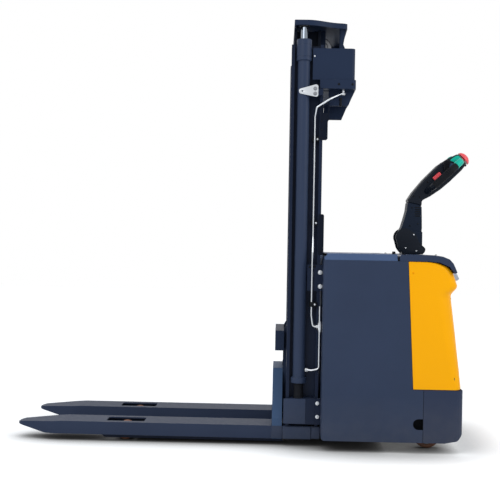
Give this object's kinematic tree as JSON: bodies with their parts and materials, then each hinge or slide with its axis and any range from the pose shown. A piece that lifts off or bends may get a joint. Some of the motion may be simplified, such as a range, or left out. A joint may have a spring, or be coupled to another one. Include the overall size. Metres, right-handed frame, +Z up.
{
  "type": "walkie stacker",
  "caption": "Pedestrian pallet stacker with a nested roller mast, wrap-over forks, straddle legs, a battery body with a moulded hood and a steering tiller.",
  "frame": {"origin": "on the floor, in the middle of the whole machine's footprint", "axes": "+X from the fork tips towards the tiller, +Y to the left of someone who faces along +X, +Z up"},
  "size_m": [2.0548, 0.8, 1.8824],
  "materials": {
    "mast_paint": "satin blue-grey powder coat",
    "slate_paint": "satin slate powder coat",
    "fork_paint": "semi-gloss slate paint",
    "yellow_cover": "moulded, semi-gloss",
    "dark_plastic": "moulded, fine grain",
    "tiller_plastic": "moulded, fine grain",
    "zinc_plate": "bright zinc plate",
    "hard_chrome": "ground hard chrome",
    "bright_steel": "turned steel",
    "chain_steel": "oiled chain steel",
    "polyurethane": "cast polyurethane",
    "red_plastic": "gloss",
    "green_plastic": "satin",
    "grey_panel": "satin",
    "battery_case": "matt"
  },
  "bodies": {
    "chassis": {"mast_base_beam": "mast_paint", "chassis_frame": "mast_paint", "leg_left": "mast_paint", "leg_right": "mast_paint", "outer_rail_left": "mast_paint", "outer_rail_right": "mast_paint", "lift_cylinder_left": "mast_paint", "lift_cylinder_right": "mast_paint", "outer_top_tie": "slate_paint", "mast_bracket": "slate_paint", "body_shell": "slate_paint", "return_pipe": "zinc_plate", "feed_pipe": "zinc_plate", "cylinder_strap": "zinc_plate", "battery": "battery_case", "rear_hood": "yellow_cover", "rear_lower_cover": "dark_plastic", "deck_cover": "dark_plastic", "rear_panel": "dark_plastic", "instrument_plate": "grey_panel"},
    "inner_mast": {"inner_rail_left": "mast_paint", "inner_rail_right": "mast_paint", "inner_lower_tie": "mast_paint", "inner_mast_cap": "slate_paint", "lift_rod_left": "hard_chrome", "lift_rod_right": "hard_chrome", "lift_chain_left": "chain_steel", "lift_chain_right": "chain_steel"},
    "carriage": {"carriage_frame": "slate_paint", "fork_back_plate": "slate_paint", "fork_left": "fork_paint", "fork_right": "fork_paint"},
    "steer": {"drive_unit": "dark_plastic", "tiller_base": "tiller_plastic"},
    "drive_wheel": {"drive_wheel": "polyurethane"},
    "tiller": {"tiller_arm": "tiller_plastic", "tiller_head": "tiller_plastic"},
    "safety_cap": {"safety_cap": "red_plastic"},
    "throttle": {"throttle": "dark_plastic"},
    "lift_rocker": {"lift_rocker": "green_plastic"},
    "horn_button": {"horn_button": "red_plastic"},
    "lid": {"battery_cover": "slate_paint"},
    "emergency_stop": {"emergency_stop": "red_plastic"},
    "key_switch": {"key_switch": "bright_steel"},
    "chain_sheave_left": {"chain_sheave_left": "bright_steel"},
    "outer_roller_left": {"outer_roller_left": "bright_steel"},
    "inner_roller_left": {"inner_roller_left": "bright_steel"},
    "carriage_roller_low_left": {"carriage_roller_low_left": "bright_steel"},
    "carriage_roller_high_left": {"carriage_roller_high_left": "bright_steel"},
    "load_wheel_left": {"load_wheel_left": "polyurethane"},
    "caster_fork_left": {"caster_fork_left": "bright_steel"},
    "caster_wheel_left": {"caster_wheel_left": "polyurethane"},
    "chain_sheave_right": {"chain_sheave_right": "bright_steel"},
    "outer_roller_right": {"outer_roller_right": "bright_steel"},
    "inner_roller_right": {"inner_roller_right": "bright_steel"},
    "carriage_roller_low_right": {"carriage_roller_low_right": "bright_steel"},
    "carriage_roller_high_right": {"carriage_roller_high_right": "bright_steel"},
    "load_wheel_right": {"load_wheel_right": "polyurethane"},
    "caster_fork_right": {"caster_fork_right": "bright_steel"},
    "caster_wheel_right": {"caster_wheel_right": "polyurethane"}
  },
  "joints": [
    {"name": "mast_lift", "type": "slide", "parent": "chassis", "child": "inner_mast", "axis": [0, 0, 1], "range_m": [0, 1.25]},
    {"name": "carriage_lift", "type": "slide", "parent": "inner_mast", "child": "carriage", "axis": [0, 0, 1], "range_m": [0, 1.25], "deforming": ["lift_chain_left", "lift_chain_right"]},
    {"name": "steering", "type": "hinge", "parent": "chassis", "child": "steer", "pos_m": [0.76362, 0, 0.33], "axis": [0, 0, 1], "range_deg": [-90, 90]},
    {"name": "drive_spin", "type": "hinge", "parent": "steer", "child": "drive_wheel", "pos_m": [0.76362, 0, 0.115], "axis": [0, 1, 0], "continuous": true},
    {"name": "tiller_tilt", "type": "hinge", "parent": "steer", "child": "tiller", "pos_m": [0.72662, 0, 0.9367], "axis": [0, 1, 0], "range_deg": [0, 55], "stiffness_Nm_per_rad": 12, "springref_deg": -45.84},
    {"name": "safety_cap_push", "type": "slide", "parent": "tiller", "child": "safety_cap", "axis": [-0.745, 0, -0.667], "range_m": [0, 0.005], "stiffness_N_per_m": 800, "springref_m": -0.004},
    {"name": "throttle_turn", "type": "hinge", "parent": "tiller", "child": "throttle", "pos_m": [0.91362, 0, 1.269], "axis": [0, 1, 0], "range_deg": [-30, 30], "stiffness_Nm_per_rad": 0.5},
    {"name": "rocker_tilt", "type": "hinge", "parent": "tiller", "child": "lift_rocker", "pos_m": [0.94562, 0, 1.2985], "axis": [0, 1, 0], "range_deg": [-8, 8], "stiffness_Nm_per_rad": 1},
    {"name": "horn_push", "type": "slide", "parent": "tiller", "child": "horn_button", "axis": [0, 1, 0], "range_m": [0, 0.002], "stiffness_N_per_m": 500, "springref_m": -0.002},
    {"name": "lid_hinge", "type": "hinge", "parent": "chassis", "child": "lid", "pos_m": [0.34062, 0, 0.858], "axis": [0, -1, 0], "range_deg": [0, 90]},
    {"name": "stop_push", "type": "slide", "parent": "chassis", "child": "emergency_stop", "axis": [-1, 0, 0], "range_m": [0, 0.006]},
    {"name": "key_turn", "type": "hinge", "parent": "chassis", "child": "key_switch", "pos_m": [0.89562, 0.08, 0.57], "axis": [1, 0, 0], "range_deg": [0, 60]},
    {"name": "load_wheel_left_spin", "type": "hinge", "parent": "chassis", "child": "load_wheel_left", "pos_m": [-0.53738, 0.2015, 0.039], "axis": [0, 1, 0], "continuous": true},
    {"name": "caster_left_swivel", "type": "hinge", "parent": "chassis", "child": "caster_fork_left", "pos_m": [0.78362, 0.255, 0.16], "axis": [0, 0, 1], "continuous": true},
    {"name": "caster_left_spin", "type": "hinge", "parent": "caster_fork_left", "child": "caster_wheel_left", "pos_m": [0.81162, 0.255, 0.06], "axis": [0, 1, 0], "continuous": true},
    {"name": "sheave_left_spin", "type": "hinge", "parent": "inner_mast", "child": "chain_sheave_left", "pos_m": [0.31362, 0.095, 1.798], "axis": [0, 1, 0], "continuous": true},
    {"name": "outer_roller_left_spin", "type": "hinge", "parent": "chassis", "child": "outer_roller_left", "pos_m": [0.25462, 0.2, 1.705], "axis": [0, 1, 0], "continuous": true},
    {"name": "inner_roller_left_spin", "type": "hinge", "parent": "inner_mast", "child": "inner_roller_left", "pos_m": [0.25462, 0.2355, 0.17], "axis": [0, 1, 0], "continuous": true},
    {"name": "carriage_roller_low_left_spin", "type": "hinge", "parent": "carriage", "child": "carriage_roller_low_left", "pos_m": [0.25462, 0.1575, 0.185], "axis": [0, 1, 0], "continuous": true},
    {"name": "carriage_roller_high_left_spin", "type": "hinge", "parent": "carriage", "child": "carriage_roller_high_left", "pos_m": [0.25462, 0.1575, 0.47], "axis": [0, 1, 0], "continuous": true},
    {"name": "load_wheel_right_spin", "type": "hinge", "parent": "chassis", "child": "load_wheel_right", "pos_m": [-0.53738, -0.2015, 0.039], "axis": [0, 1, 0], "continuous": true},
    {"name": "caster_right_swivel", "type": "hinge", "parent": "chassis", "child": "caster_fork_right", "pos_m": [0.78362, -0.255, 0.16], "axis": [0, 0, 1], "continuous": true},
    {"name": "caster_right_spin", "type": "hinge", "parent": "caster_fork_right", "child": "caster_wheel_right", "pos_m": [0.81162, -0.255, 0.06], "axis": [0, 1, 0], "continuous": true},
    {"name": "sheave_right_spin", "type": "hinge", "parent": "inner_mast", "child": "chain_sheave_right", "pos_m": [0.31362, -0.095, 1.798], "axis": [0, 1, 0], "continuous": true},
    {"name": "outer_roller_right_spin", "type": "hinge", "parent": "chassis", "child": "outer_roller_right", "pos_m": [0.25462, -0.2, 1.705], "axis": [0, 1, 0], "continuous": true},
    {"name": "inner_roller_right_spin", "type": "hinge", "parent": "inner_mast", "child": "inner_roller_right", "pos_m": [0.25462, -0.2355, 0.17], "axis": [0, 1, 0], "continuous": true},
    {"name": "carriage_roller_low_right_spin", "type": "hinge", "parent": "carriage", "child": "carriage_roller_low_right", "pos_m": [0.25462, -0.1575, 0.185], "axis": [0, 1, 0], "continuous": true},
    {"name": "carriage_roller_high_right_spin", "type": "hinge", "parent": "carriage", "child": "carriage_roller_high_right", "pos_m": [0.25462, -0.1575, 0.47], "axis": [0, 1, 0], "continuous": true}
  ],
  "couplings": [
    {"joint": "carriage_lift", "follows": "mast_lift", "ratio": 1},
    {"joint": "sheave_left_spin", "follows": "mast_lift", "rad_per_m": 19.608},
    {"joint": "sheave_right_spin", "follows": "mast_lift", "rad_per_m": 19.608}
  ]
}
